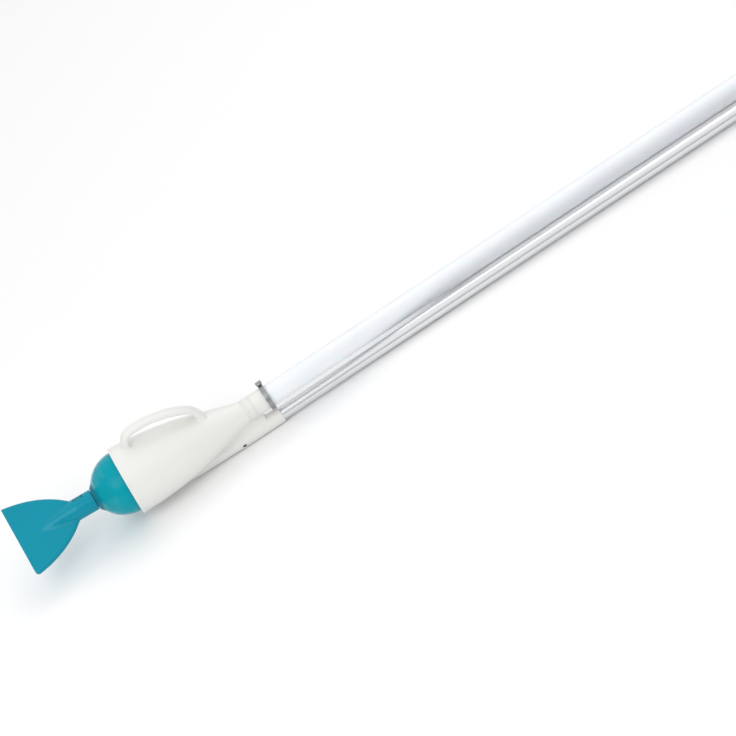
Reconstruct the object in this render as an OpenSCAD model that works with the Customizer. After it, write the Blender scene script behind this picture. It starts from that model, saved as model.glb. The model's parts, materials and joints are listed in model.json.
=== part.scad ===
// Hand vacuum head for pools and spas: a bell-shaped body with a clear debris dome and a
// fan nozzle, on a telescopic pole, with its suction hose and the hose's end cuff.
// +X runs along the pole towards its grip, +Z is up, and the floor is at z = 0.

/* [Body] */
// Outside radius of the body at its front rim
rim_r = 67.5; // [60:0.5:81]
// Length of the body from its rim to its tail, along the head's axis
body_len = 254; // [211:1:305]
// Outside radius of the body at its tail
tail_r = 21.65; // [21.2:0.05:24]
// Wall of the body
body_wall = 2.5; // [2:0.1:3.2]
// How far the head's axis rises towards the nozzle, in degrees
head_tilt = 4; // [2:0.5:5]
// Width of the carrying handle
handle_w = 23.5; // [19.5:0.5:28]
// Thickness of the carrying handle
handle_t = 11; // [9:0.5:13]

/* [Pole] */
// Outside radius of the pole's outer tube
pole_r = 12.5; // [10.5:0.1:15]
// Wall of both tubes
tube_wall = 1.2; // [1:0.1:1.5]
// Length of the outer tube
outer_len = 1272; // [1060:1:1530]
// Length of the inner tube
inner_len = 1320; // [1100:1:1590]
// Depth of the socket that holds the pole
socket_depth = 132; // [110:1:135]
// Wall of the socket around the pole
socket_wall = 3.2; // [2.7:0.1:4]
// Height of the hose axis above the pole axis
hose_rise = 49.3; // [45:0.1:59]
// Radius of the snap button
button_r = 3.8; // [3.2:0.1:4.6]

/* [Dome and nozzle] */
// Outside radius of the dome
dome_r = 61; // [54:0.5:62]
// Height that the dome's curve would have without its flat front
dome_h = 66; // [62:0.5:80]
// Wall of the dome
dome_wall = 2.5; // [2:0.1:3]
// Outside radius of the inlet tube
inlet_r = 17; // [16:0.1:19]
// Wall of the inlet tube
inlet_wall = 3.5; // [3.2:0.1:4]
// Wall of the nozzle's neck
neck_wall = 3.45; // [3:0.05:4.1]
// Length of the nozzle's fan from the shoulder to the mouth
fan_len = 118.5; // [99:0.5:142]
// Half of the mouth's width
mouth_half = 74; // [62:0.5:89]
// Outside thickness of the fan
fan_t = 12.5; // [11:0.1:15]
// Wall of the fan
fan_wall = 2; // [1.6:0.1:2.4]
// Turn of the nozzle about the head's axis, towards -Y, in degrees
nozzle_turn = 35; // [0:1:60]

/* [Hose] */
// Outside radius of the hose
hose_r = 21; // [20:0.1:24]
// Inside radius of the hose
hose_bore_r = 19; // [18:0.1:19.4]
// Length of the cuff that the hose is pushed against
cuff_len = 45; // [38:0.5:54]
// Width of the hose clamp
clamp_w = 9; // [8:0.5:11]

/* [Hidden] */
$fn = 96;
FINE = 160;
fit_gap = 0.05;   // a running fit
play = 0.3;       // pieces that pass each other
weld = 0.02;      // a seated ring and its seat

// Places along the row
socket_r = pole_r + socket_wall;
pole_z = socket_r;
spigot_z = pole_z + hose_rise;
tail_x = body_len * cos(head_tilt);
rim_z = spigot_z + body_len * sin(head_tilt);
socket_end_x = tail_x + 54;
pole_x = socket_end_x - socket_depth;
button_x = pole_x + 43;
button_drop = 20.6;
cuff_end_x = tail_x + cuff_len;
sleeve_len = 33;
run_x = cuff_end_x + sleeve_len;

// Telescopic pole
tube_in_r = pole_r - tube_wall;
inner_r = tube_in_r - play;
outer_end_x = pole_x + outer_len;
sleeve_x = outer_end_x - 30;
collar_x = outer_end_x + 4.5;
collar_len = 42;
grip_x = collar_x + collar_len + 4;
grip_len = 96;
grip_r = socket_r - 0.15;
inner_end_x = grip_x + grip_len + 4;
inner_x = inner_end_x - inner_len;
cap_tab_x = inner_end_x + 18;
hang_r = 4;
tab_t = 8;
tab_half = 9;

// Nozzle and dome stations, ahead of the rim
flat_r = 30;
flat_z = dome_h * sqrt(1 - pow(flat_r / dome_r, 2));
plate_t = 7.6;
neck_z = flat_z + plate_t + play + 1;
neck_r = inlet_r + fit_gap + neck_wall;
shoulder_z = neck_z + 41.1;
mouth_z = shoulder_z + fan_len;
mouth_corner_r = 8;
ridge_len = 68;
tube_front_z = shoulder_z - 14;
tube_rear_z = 36;
latch_turn = 40;   // from the fan's face, in degrees
latch_pivot_z = tube_front_z + 3.5;
latch_h = inlet_r + 1.2;
latch_half_w = 4.2;
latch_pin_r = 1;
tooth_z = tube_front_z - 7.5;

// Flap inside the dome
flap_pin_z = 33;
flap_pin_h = inlet_r + 3.5;
flap_pin_r = 1.2;
flap_hang = 9;
flap_r = inlet_r - 2;
ear_h = 0.66 * inlet_r;
ear_y = 12.3;

// Front of the body
seat_z = -24;      // rear face of the ledge that carries the basket
ledge_t = 3;
flange_t = 3;
seal_r = 1.2;
skirt_z = -15.3;
lug_r = 2;
basket_len = 130;

// Middle of the row, which is the origin along X
mouth_low = (mouth_half - mouth_corner_r) * sin(nozzle_turn) + fan_t / 2 * cos(nozzle_turn);
front_x = -mouth_z * cos(head_tilt) - mouth_low * sin(head_tilt);
back_x = cap_tab_x + tab_half;
origin_x = (front_x + back_x) / 2;

// Hose: distance from the end of the straight sleeve, and the share of its fall to the floor
hose_fall = [
    [0, 0], [40, 0], [80, 0.03], [130, 0.13], [180, 0.29], [230, 0.46], [280, 0.64],
    [330, 0.79], [380, 0.9], [430, 0.97], [490, 1], [560, 1], [680, 1], [800, 1], [920, 1],
    [1040, 1], [1160, 1], [1280, 1]];
lay_y = 63;
hose_sides = 12;
coil_turn_r = 210;
coil_x = run_x + 1400;
coil_y = lay_y + coil_turn_r + hose_r;
upper_z = hose_r * (1 + sqrt(3));
upper_start = -95;
upper_sweep = 270;
end_cuff_len = 75;
end_cuff_r = hose_r + 2;

function bezier(p, n) = [for (i = [0:n]) let (t = i / n, s = 1 - t)
    s * s * s * p[0] + 3 * s * s * t * p[1] + 3 * s * t * t * p[2] + t * t * t * p[3]];
function spline_point(a, b, c, d, t) =
    0.5 * (2 * b + (c - a) * t + (2 * a - 5 * b + 4 * c - d) * t * t
    + (3 * b - a - 3 * c + d) * t * t * t);
function spline(p, n) = let (e = len(p) - 1) concat(
    [for (i = [0:e - 1], k = [0:n - 1])
        spline_point(p[max(i - 1, 0)], p[i], p[i + 1], p[min(i + 2, e)], k / n)], [p[e]]);
function unit(v) = v / norm(v);
function tangent(p, i) = unit(p[min(i + 1, len(p) - 1)] - p[max(i - 1, 0)]);
function beside(p, d) = [for (i = [0:len(p) - 1])
    let (t = tangent(p, i)) p[i] + d * [-t[1], t[0]]];
function reversed(p) = [for (i = [len(p) - 1:-1:0]) p[i]];

// The body's outline: radius and place along the head's axis, from the rim to the tail
skin = bezier([[rim_r, 0], [rim_r - 1.5, -0.49 * body_len], [tail_r + 17.5, -0.69 * body_len],
    [tail_r, -body_len]], 28);
function skin_r(back) = lookup(back, [for (p = skin) [-p[1], p[0]]]);

module in_row() { translate([-origin_x, 0, 0]) children(); }
module on_head() {
    in_row() translate([0, 0, rim_z]) rotate([0, head_tilt - 90, 0]) children();
}
module on_nozzle() { on_head() rotate([0, 0, -nozzle_turn]) children(); }
module on_latch() { on_nozzle() rotate([0, 0, latch_turn]) children(); }
// A solid of revolution about X, from x, of radius r and length len
module bar_x(x, z, r, len) {
    translate([x, 0, z]) rotate([0, 90, 0]) cylinder(r = r, h = len);
}
module ring(z, len, outer, inner) {
    translate([0, 0, z]) difference() {
        cylinder(r = outer, h = len, $fn = FINE);
        translate([0, 0, -1]) cylinder(r = inner, h = len + 2, $fn = FINE);
    }
}
module ring_x(x, z, len, outer, inner) {
    translate([x, 0, z]) rotate([0, 90, 0]) ring(0, len, outer, inner);
}
module torus(z, major, minor) {
    translate([0, 0, z]) rotate_extrude($fn = FINE) translate([major, 0]) circle(minor, $fn = 32);
}

// ---- Body -------------------------------------------------------------------------------

module body_outside() {
    difference() {
        on_head() rotate_extrude($fn = FINE)
            polygon(concat([[0, 0]], skin, [[tail_r, -body_len - 4], [0, -body_len - 4]]));
        in_row() translate([tail_x, -60, 0]) cube([40, 120, 200]);
    }
}

module body_cavity() {
    inside = [for (p = skin) [p[0] - body_wall, p[1]]];
    on_head() rotate_extrude($fn = FINE)
        polygon(concat([[0, 1], [rim_r - body_wall, 1], [rim_r - body_wall, seat_z + ledge_t]],
            [for (p = inside) if (p[1] < seat_z && p[1] > -body_len + 16) p],
            [[spigot_plug_r + weld, -body_len + 14], [spigot_plug_r + weld, -body_len - 5],
            [0, -body_len - 5]]));
}

spigot_plug_r = 16.6;
spigot_bore_r = 14.5;

// The socket's nose, and the web that ties the socket to the body and runs on under the cuff
nose_rise = 5;
nose_round = 50;
rib_rise = 2.4;
web_start = 104;
web_len = 25;
web_top = spigot_z - tail_r - rib_rise - 0.5;

handle_line = [
    [0.122, -7], [0.148, 16.5], [0.2, 26.7], [0.294, 30.3], [0.371, 31.8], [0.469, 30.8],
    [0.526, 29.6], [0.632, 23.3], [0.68, 14.5], [0.717, -2]];

module handle_outline() {
    line = spline([for (p = handle_line)
        [-p[0] * body_len, skin_r(p[0] * body_len) + p[1]]], 5);
    polygon(concat(beside(line, handle_t / 2), reversed(beside(line, -handle_t / 2))));
}

module handle() {
    on_head() rotate([0, -90, -90]) linear_extrude(handle_w, center = true) handle_outline();
}

// The pole's socket: a blunt nose that grows out of the body, then a straight sleeve
module socket_outside() {
    nose_x = 0.276 * body_len;
    bend_x = tail_x - 39;
    bar_start = bend_x - 7;
    slope = atan(nose_rise / (bend_x - nose_x));
    r = socket_r - 0.6;
    len = norm([bend_x - nose_x, nose_rise]);
    in_row() {
        bar_x(bar_start, pole_z, socket_r, socket_end_x - bar_start);
        translate([nose_x, 0, pole_z + nose_rise]) rotate([0, 90 + slope, 0])
            rotate_extrude($fn = FINE) polygon(concat([[0, len], [r, len]],
                [for (i = [8:-1:0]) let (t = i / 8)
                    [r * sqrt(1 - pow(1 - t, 2)), nose_round * t]]));
        translate([tail_x - web_start, 0, 0]) rotate([90, 0, 0])
            linear_extrude(1.3 * socket_r, center = true)
            polygon([[0, pole_z], [web_start + web_len, pole_z], [web_start + web_len, web_top],
                [web_start, web_top], [web_start, spigot_z - 10], [0, spigot_z]]);
    }
}

module button_hole(from_r, to_r) {
    in_row() translate([button_x, 0, pole_z]) rotate([90 + button_drop, 0, 0])
        translate([0, 0, from_r]) cylinder(r = button_r + 0.2, h = to_r - from_r);
}

module body_shell() {
    color("ivory") {
        difference() {
            union() {
                body_outside();
                handle();
                socket_outside();
            }
            body_cavity();
            in_row() bar_x(pole_x, pole_z, pole_r + fit_gap, socket_depth + 1);
            button_hole(pole_r - 2, socket_r + 2);
        }
        on_head() ring(seat_z, ledge_t, rim_r - body_wall, dome_r - 3);
    }
}

// Ring with three entry slots that holds the dome's lugs
module bayonet_ring() {
    color("ivory") on_head() difference() {
        ring(-7.7, 7.2, rim_r - body_wall - weld, dome_r + play);
        for (k = [0:2]) rotate([0, 0, 30 + 120 * k]) rotate_extrude(angle = 28)
            translate([dome_r, -9]) square([lug_r + play, 10]);
    }
}

basket_top_r = dome_r - 8;
basket_low_r = 0.55 * basket_top_r;
basket_wall = 2;

module basket_frame() {
    flange_z = seat_z + ledge_t;
    color("paleturquoise") on_head() difference() {
        union() {
            ring(flange_z, flange_t, rim_r - body_wall - play, basket_top_r - basket_wall);
            translate([0, 0, flange_z - basket_len])
                cylinder(r1 = basket_low_r, r2 = basket_top_r, h = basket_len, $fn = FINE);
        }
        translate([0, 0, flange_z - basket_len])
            cylinder(r1 = basket_low_r - basket_wall, r2 = basket_top_r - basket_wall,
                h = basket_len, $fn = FINE);
        for (k = [0:7], row = [0:2]) rotate([0, 0, 45 * k])
            translate([basket_low_r - 8, -7 - 2.5 * row, flange_z - basket_len + 7 + 40 * row])
            cube([40, 14 + 5 * row, 34]);
    }
}

module basket_mesh() {
    flange_z = seat_z + ledge_t;
    low = basket_low_r - basket_wall - weld;
    top = basket_top_r - basket_wall - weld;
    thread = 0.6;
    color("whitesmoke") on_head() translate([0, 0, flange_z - basket_len]) difference() {
        cylinder(r1 = low, r2 = top, h = basket_len, $fn = FINE);
        translate([0, 0, thread])
            cylinder(r1 = low - thread, r2 = top - thread, h = basket_len, $fn = FINE);
    }
}

// Cone that leads debris from the dome into the basket
module intake_cone() {
    low = basket_top_r - basket_wall;
    high_z = 28;
    h = high_z - seat_z - ledge_t - flange_t;
    color("turquoise") on_head() translate([0, 0, high_z - h]) difference() {
        cylinder(r1 = low + 4, r2 = low - 5, h = h, $fn = FINE);
        translate([0, 0, -1]) cylinder(r1 = low + 2.6, r2 = low - 6.6, h = h + 2, $fn = FINE);
    }
}

module dome_seal() {
    color("black") on_head() torus(seat_z + ledge_t + flange_t + seal_r, dome_r - 1, seal_r);
}

// ---- Hose connection --------------------------------------------------------------------

barb_len = sleeve_len;
collar_r = hose_r + 4.2;
band_t = 0.8;

module hose_spigot() {
    color("ivory") difference() {
        union() {
            on_head() translate([0, 0, -body_len - 2]) difference() {
                cylinder(r = spigot_plug_r, h = 15);
                ring(7.3, 1.4, spigot_plug_r + 1, spigot_plug_r - 1.4);
            }
            in_row() {
                bar_x(tail_x, spigot_z, tail_r, cuff_len);
                for (x = [4, 16]) ring_x(tail_x + x, spigot_z, 2.2, tail_r + rib_rise, tail_r - 1);
                bar_x(cuff_end_x, spigot_z, hose_bore_r - 0.5, barb_len);
                for (x = [8, 18, 28]) translate([cuff_end_x + x, 0, spigot_z])
                    rotate([0, 90, 0]) cylinder(r1 = hose_bore_r, r2 = hose_bore_r - 0.5, h = 5);
            }
        }
        on_head() translate([0, 0, -body_len - 2]) cylinder(r = spigot_bore_r, h = 16);
        in_row() bar_x(tail_x - 1, spigot_z, spigot_bore_r + 0.6, cuff_len + barb_len + 2);
        difference() {
            in_row() translate([tail_x - 6, -40, spigot_z - 40]) cube([6, 80, 80]);
            on_head() translate([0, 0, -body_len - 2]) cylinder(r = spigot_plug_r, h = 15);
        }
    }
}

module spigot_seal() {
    color("black") on_head() torus(-body_len + 6, spigot_plug_r - 0.7, 0.7);
}

module hose_collar() {
    color("dimgray") in_row()
        ring_x(cuff_end_x + band_t, spigot_z, clamp_w - 2 * band_t, collar_r, hose_r);
}

module clamp_band() {
    color("silver") in_row() {
        ring_x(cuff_end_x, spigot_z, clamp_w, collar_r + band_t, collar_r);
        for (x = [0, clamp_w - band_t])
            ring_x(cuff_end_x + x, spigot_z, band_t, collar_r + band_t / 2, hose_r + 0.6);
    }
}

clamp_turn = 35;
screw_r = 3;
screw_h = collar_r + band_t + screw_r + 0.6;

module on_clamp() {
    in_row() translate([cuff_end_x + clamp_w / 2, 0, spigot_z]) rotate([-clamp_turn, 0, 0])
        children();
}

module clamp_housing() {
    color("gray") on_clamp() difference() {
        translate([-6, -7, collar_r + band_t]) cube([12, 14, 2 * screw_r + 1.6]);
        translate([0, -8, screw_h]) rotate([-90, 0, 0]) cylinder(r = screw_r + fit_gap, h = 16);
        rotate([0, 90, 0]) cylinder(r = collar_r + band_t, h = 20, center = true, $fn = FINE);
    }
}

module clamp_screw() {
    color("silver") on_clamp() translate([0, 0, screw_h]) rotate([-90, 0, 0]) difference() {
        union() {
            translate([0, 0, -8]) cylinder(r = screw_r, h = 17);
            translate([0, 0, -12.5]) cylinder(r = screw_r + 0.6, h = 5.2);
        }
        translate([-5, -0.6, -13]) cube([10, 1.2, 2]);
    }
}

// ---- Pole -------------------------------------------------------------------------------

module pole_outer_tube() {
    color("lightgray") difference() {
        in_row() ring_x(pole_x, pole_z, outer_len, pole_r, tube_in_r);
        button_hole(pole_r - 3, pole_r + 2);
    }
}

module pole_end_plug() {
    color("dimgray") in_row() difference() {
        bar_x(pole_x, pole_z, tube_in_r, 14);
        bar_x(pole_x - 1, pole_z, tube_in_r - 3, 12);
    }
}

module on_button() {
    in_row() translate([button_x, 0, pole_z]) rotate([90 + button_drop, 0, 0]) children();
}

module pole_button() {
    top = socket_r - 0.5;
    color("black") on_button() intersection() {
        translate([0, 0, pole_r - 3.7]) cylinder(r = button_r, h = 10);
        translate([0, 0, top - 9]) sphere(9);
    }
}

module button_spring() {
    leaf_t = 0.6;
    leaf_len = 24;
    low = pole_r - 3.7 - leaf_t;
    color("silver") on_button() {
        translate([-leaf_len, -3, low]) cube([leaf_len + 4, 6, leaf_t]);
        translate([-leaf_len, 3, low - 2.1]) rotate([90, 0, 0]) bent_strip(2.7, leaf_t, 6);
    }
}
// Half of a bent strip: the outer radius, the strip's thickness and its width
module bent_strip(r, t, w) {
    difference() {
        cylinder(r = r, h = w);
        translate([0, 0, -1]) cylinder(r = r - t, h = w + 2);
        translate([0, -2 * r, -1]) cube([2 * r, 4 * r, w + 2]);
    }
}

module lock_sleeve() {
    color("dimgray") in_row() difference() {
        bar_x(sleeve_x, pole_z, socket_r, 34);
        bar_x(sleeve_x - 1, pole_z, pole_r, 31);
        bar_x(sleeve_x, pole_z, inner_r + play, 40);
    }
}

module lock_collet() {
    color("white") in_row() difference() {
        ring_x(outer_end_x + 4, pole_z, 16, inner_r + 2.4, inner_r + fit_gap);
        for (a = [0:45:315]) translate([outer_end_x + 9, 0, pole_z]) rotate([a, 0, 0])
            translate([0, -0.5, 5]) cube([20, 1, 20]);
    }
}

module lock_collar() {
    color("dimgray") in_row() difference() {
        bar_x(collar_x, pole_z, grip_r, collar_len);
        bar_x(collar_x - 1, pole_z, inner_r + play, collar_len + 2);
        bar_x(collar_x - 1, pole_z, inner_r + 2.4 + play, 18);
        for (a = [0:20:340]) translate([collar_x + 6, 0, pole_z]) rotate([a, 0, 0])
            translate([0, 0, grip_r + 0.4]) rotate([0, 90, 0]) cylinder(r = 1.2, h = collar_len - 12);
    }
}

module pole_inner_tube() {
    color("silver") in_row() ring_x(inner_x, pole_z, inner_len, inner_r, inner_r - tube_wall);
}

module inner_bush() {
    color("white") in_row() difference() {
        union() {
            bar_x(inner_x - 8, pole_z, tube_in_r - fit_gap, 8);
            bar_x(inner_x, pole_z, inner_r - tube_wall, 16);
        }
        bar_x(inner_x - 9, pole_z, inner_r - tube_wall - 2.5, 30);
    }
}

module grip() {
    color("dimgray") in_row() difference() {
        bar_x(grip_x, pole_z, grip_r, grip_len);
        bar_x(grip_x - 1, pole_z, inner_r, grip_len + 2);
        for (x = [12:9:grip_len - 12]) translate([grip_x + x, 0, pole_z]) rotate([0, 90, 0])
            torus(0, grip_r + 0.5, 1.3);
    }
}

module grip_cap() {
    color("dimgray") in_row() difference() {
        union() {
            bar_x(inner_end_x - 20, pole_z, inner_r - tube_wall, 21);
            bar_x(inner_end_x - 4, pole_z, grip_r - 1.5, 12);
            translate([inner_end_x, -tab_t / 2, pole_z - tab_half])
                cube([cap_tab_x - inner_end_x, tab_t, 2 * tab_half]);
            translate([cap_tab_x, 0, pole_z]) rotate([90, 0, 0])
                cylinder(r = tab_half, h = tab_t, center = true);
        }
        ring_x(inner_end_x - 5, pole_z, 5, inner_r, inner_r - tube_wall);
        translate([cap_tab_x, 0, pole_z]) rotate([90, 0, 0])
            cylinder(r = hang_r, h = 2 * tab_t, center = true);
    }
}

// ---- Dome -------------------------------------------------------------------------------

function dome_curve(r, h, stop) = let (n = 24, last = acos(stop / r))
    [for (i = [0:n]) let (a = last * i / n) [r * cos(a), h * sin(a)]];

module dome() {
    inner = dome_curve(dome_r - dome_wall, dome_h - dome_wall, flat_r - 1);
    inner_top = flat_z - dome_wall;
    hole_r = inlet_r + weld;
    color("darkturquoise", 0.6) on_head() {
        rotate_extrude($fn = FINE) polygon(concat(
            [[dome_r - dome_wall, skirt_z], [dome_r, skirt_z]],
            dome_curve(dome_r, dome_h, flat_r),
            [[hole_r, flat_z], [hole_r, inner_top]],
            reversed([for (p = inner) if (p[1] < inner_top) p])));
        for (k = [0:2]) rotate([0, 0, 120 * k]) rotate_extrude(angle = 24)
            translate([dome_r - 1, -11]) square([lug_r + 1, 3]);
    }
}

module inlet_tube() {
    color("teal") on_head() difference() {
        union() {
            translate([0, 0, tube_rear_z]) cylinder(r = inlet_r, h = tube_front_z - tube_rear_z);
            translate([0, 0, flat_z]) cylinder(r1 = flat_r, r2 = flat_r - 8, h = plate_t, $fn = FINE);
            for (side = [-1, 1]) translate([ear_h, side * ear_y - 1.5, flap_pin_z - 3])
                cube([flap_pin_h + 3 - ear_h, 3, 12]);
        }
        translate([0, 0, tube_rear_z - 8]) cylinder(r = inlet_r - inlet_wall, h = 90);
        ring(tooth_z - 2.4, 4.8, inlet_r + 1, inlet_r - 1.8);
        ring(neck_z + 6.2, 2.6, inlet_r + 1, inlet_r - 2.5);
        translate([flap_pin_h, 0, flap_pin_z]) rotate([90, 0, 0])
            cylinder(r = flap_pin_r, h = 40, center = true);
    }
}

module inlet_seal() {
    color("black") on_head() torus(neck_z + 7.5, inlet_r - 1.3, 1.2);
}

module flap_pin() {
    color("silver") on_head() translate([flap_pin_h, 0, flap_pin_z]) rotate([90, 0, 0])
        cylinder(r = flap_pin_r, h = 28, center = true);
}

module inlet_flap() {
    drop = flap_pin_h;
    face = tube_rear_z - flap_pin_z - play;
    flap_t = 2;
    color("darkslategray") on_head() translate([flap_pin_h, 0, flap_pin_z])
        rotate([0, -flap_hang, 0]) difference() {
            union() {
                rotate([90, 0, 0]) cylinder(r = 2.6, h = 20, center = true);
                translate([-drop, 0, face - flap_t]) cylinder(r = flap_r, h = flap_t);
                translate([-8, -8, face - flap_t]) cube([8, 16, flap_t]);
            }
            rotate([90, 0, 0]) cylinder(r = flap_pin_r + fit_gap, h = 40, center = true);
        }
}

// ---- Nozzle -----------------------------------------------------------------------------

// Half of the fan's plan: place along the axis from the shoulder, and half width
function fan_side(shrink) = [for (p = bezier([[0, neck_r], [0.253 * fan_len, 0.675 * mouth_half],
    [0.59 * fan_len, 0.912 * mouth_half], [fan_len, mouth_half]], 16)) p - [0, shrink]];

module fan_plan() {
    side = fan_side(0);
    difference() {
        polygon(concat([[-12, neck_r - 4], [-12, 4 - neck_r]],
            [for (p = side) [p[0], -p[1]]], reversed(side)));
        translate([fan_len - mouth_corner_r, -mouth_half]) corner_notch(mouth_corner_r);
    }
}
// What a rounded corner of radius r leaves out of a square one, at its far lower end
module corner_notch(r) {
    difference() {
        translate([0, -r]) square([r + 1, 2 * r]);
        translate([0, r]) circle(r);
        translate([-1, r]) square([r + 2, r]);
    }
}

module fan_hollow() {
    side = [for (p = fan_side(1.25 * fan_wall)) if (p[0] > 2) p];
    polygon(concat([[-8, 13], [-8, -13]], [for (p = side) [p[0], -p[1]]],
        [[fan_len + 1, -mouth_half + 1.25 * fan_wall], [fan_len + 1, mouth_half - 1.25 * fan_wall]],
        reversed(side)));
}

module nozzle() {
    bore = inlet_r + fit_gap;
    color("darkturquoise") on_nozzle() difference() {
        union() {
            translate([0, 0, neck_z]) cylinder(r = neck_r, h = shoulder_z - neck_z);
            translate([0, 0, shoulder_z]) {
                cylinder(r1 = neck_r, r2 = fan_t / 2, h = ridge_len);
                rotate([0, -90, 0]) linear_extrude(fan_t, center = true) fan_plan();
            }
        }
        translate([0, 0, neck_z - 1]) cylinder(r = bore, h = shoulder_z - neck_z + 1);
        translate([0, 0, shoulder_z]) {
            cylinder(r1 = bore, r2 = fan_t / 2 - fan_wall, h = ridge_len);
            rotate([0, -90, 0]) linear_extrude(fan_t - 2 * fan_wall, center = true) fan_hollow();
        }
        rotate([0, 0, latch_turn]) {
            translate([inlet_r - 2, -latch_half_w - play, tooth_z - 3.5])
                cube([9, 2 * latch_half_w + 2 * play, shoulder_z - tooth_z - 1.5]);
            translate([latch_h, 0, latch_pivot_z]) rotate([90, 0, 0])
                cylinder(r = latch_pin_r, h = 14, center = true);
        }
    }
}

module latch() {
    top = inlet_r + 3.2;
    arm_low = inlet_r + 0.9;
    w = 2 * latch_half_w;
    rear = tooth_z - 1.7;
    front = shoulder_z - 5.7;
    color("darkslategray") on_latch() difference() {
        translate([0, -latch_half_w, 0]) union() {
            translate([arm_low, 0, rear]) cube([top - arm_low, w, front - rear]);
            translate([inlet_r - 1.2, 0, rear]) cube([3, w, 3.2]);
            translate([inlet_r - 1, 0, latch_pivot_z - 2.2]) cube([3, w, 4.4]);
        }
        translate([latch_h, 0, latch_pivot_z]) rotate([90, 0, 0])
            cylinder(r = latch_pin_r + fit_gap, h = 20, center = true);
    }
}

module latch_pin() {
    color("silver") on_latch() translate([latch_h, 0, latch_pivot_z]) rotate([90, 0, 0])
        cylinder(r = latch_pin_r, h = 14, center = true);
}

// ---- Hose -------------------------------------------------------------------------------

module hose_sleeve() {
    color("azure") in_row() ring_x(cuff_end_x, spigot_z, sleeve_len, hose_r, hose_bore_r);
}

hose_points = [for (p = hose_fall)
    [run_x + p[0], lay_y * p[1], spigot_z - p[1] * (spigot_z - hose_r)]];

function hose_ring(points, i) =
    let (t = tangent(points, i), side = unit(cross([0, 0, 1], t)), up = cross(t, side))
    [for (k = [0:hose_sides - 1]) let (a = 360 * k / hose_sides)
        points[i] + hose_r * (cos(a) * up + sin(a) * side)];

module hose_run() {
    n = len(hose_points);
    s = hose_sides;
    rings = [for (i = [0:n - 1]) each hose_ring(hose_points, i)];
    walls = [for (i = [0:n - 2], k = [0:s - 1])
        [i * s + k, i * s + (k + 1) % s, (i + 1) * s + (k + 1) % s, (i + 1) * s + k]];
    color("azure") in_row() polyhedron(rings, concat(walls,
        [[for (k = [s - 1:-1:0]) k]], [[for (k = [0:s - 1]) (n - 1) * s + k]]));
}

// The two turns that lie on the floor, side by side
module hose_coil() {
    color("azure") in_row() translate([coil_x, coil_y, 0]) rotate_extrude($fn = 72)
        translate([coil_turn_r, hose_r]) {
            for (side = [-1, 1]) translate([side * hose_r, 0]) circle(hose_r, $fn = 48);
            square([2 * hose_r, 1.4 * hose_r], center = true);
        }
}

// The last turn, which lies in the groove between the two below it
module hose_top_turn() {
    color("azure") in_row() translate([coil_x, coil_y, 0]) rotate([0, 0, upper_start])
        rotate_extrude(angle = upper_sweep, $fn = 72) translate([coil_turn_r, upper_z + play])
        circle(hose_r, $fn = 48);
}

module hose_end_cuff() {
    turn = upper_start + upper_sweep + asin(end_cuff_len / 2 / coil_turn_r) + 1.5;
    lift = sqrt(pow(hose_r + end_cuff_r, 2) - pow(hose_r, 2));
    straight = 1.6;
    color("ivory") in_row() translate([coil_x, coil_y, hose_r + lift + straight])
        rotate([0, 0, turn]) translate([coil_turn_r, 0, 0]) rotate([-90, 0, 0]) difference() {
            union() {
                translate([0, 0, -end_cuff_len / 2]) cylinder(r = end_cuff_r - 1, h = end_cuff_len);
                for (z = [-36, -22, -8, 30]) translate([0, 0, z]) cylinder(r = end_cuff_r, h = 6);
            }
            translate([0, 0, -end_cuff_len / 2 + 12])
                cylinder(r = hose_bore_r, h = end_cuff_len);
        }
}

body_shell();
bayonet_ring();
basket_frame();
basket_mesh();
intake_cone();
dome_seal();
hose_spigot();
spigot_seal();
hose_collar();
clamp_band();
clamp_housing();
clamp_screw();
pole_outer_tube();
pole_end_plug();
pole_button();
button_spring();
lock_sleeve();
lock_collet();
lock_collar();
pole_inner_tube();
inner_bush();
grip();
grip_cap();
dome();
inlet_tube();
inlet_seal();
flap_pin();
inlet_flap();
nozzle();
latch();
latch_pin();
hose_sleeve();
hose_run();
hose_coil();
hose_top_turn();
hose_end_cuff();
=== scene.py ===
"""Hand vacuum head for pools and spas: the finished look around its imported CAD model."""
import json
import math

import bpy
from bpy.props import FloatProperty, FloatVectorProperty, IntProperty, PointerProperty
from mathutils import Matrix, Vector


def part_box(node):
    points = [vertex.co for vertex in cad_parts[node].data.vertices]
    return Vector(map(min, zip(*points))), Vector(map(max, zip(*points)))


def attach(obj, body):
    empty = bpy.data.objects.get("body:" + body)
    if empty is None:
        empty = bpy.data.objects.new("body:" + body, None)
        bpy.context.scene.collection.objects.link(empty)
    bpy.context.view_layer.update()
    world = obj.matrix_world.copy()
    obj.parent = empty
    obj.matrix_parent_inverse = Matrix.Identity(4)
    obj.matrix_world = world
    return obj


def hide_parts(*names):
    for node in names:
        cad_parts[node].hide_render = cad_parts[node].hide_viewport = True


bl_info = {
    "name": "Pool vacuum head",
    "version": (1, 0, 0),
    "blender": (4, 5, 0),
    "location": "3D View > Sidebar > Vacuum head",
    "description": "Builds the finished look of a hand vacuum head around its CAD model",
    "category": "Object",
}

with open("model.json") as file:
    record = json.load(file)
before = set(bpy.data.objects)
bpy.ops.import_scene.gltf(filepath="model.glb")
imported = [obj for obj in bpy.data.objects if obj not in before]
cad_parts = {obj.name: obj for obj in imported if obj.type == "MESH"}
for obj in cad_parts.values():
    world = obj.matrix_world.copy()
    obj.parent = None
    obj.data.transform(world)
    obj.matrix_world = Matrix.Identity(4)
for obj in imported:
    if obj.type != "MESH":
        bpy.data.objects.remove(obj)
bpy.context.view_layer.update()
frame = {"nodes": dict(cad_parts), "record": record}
NODES = frame["nodes"]

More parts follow.
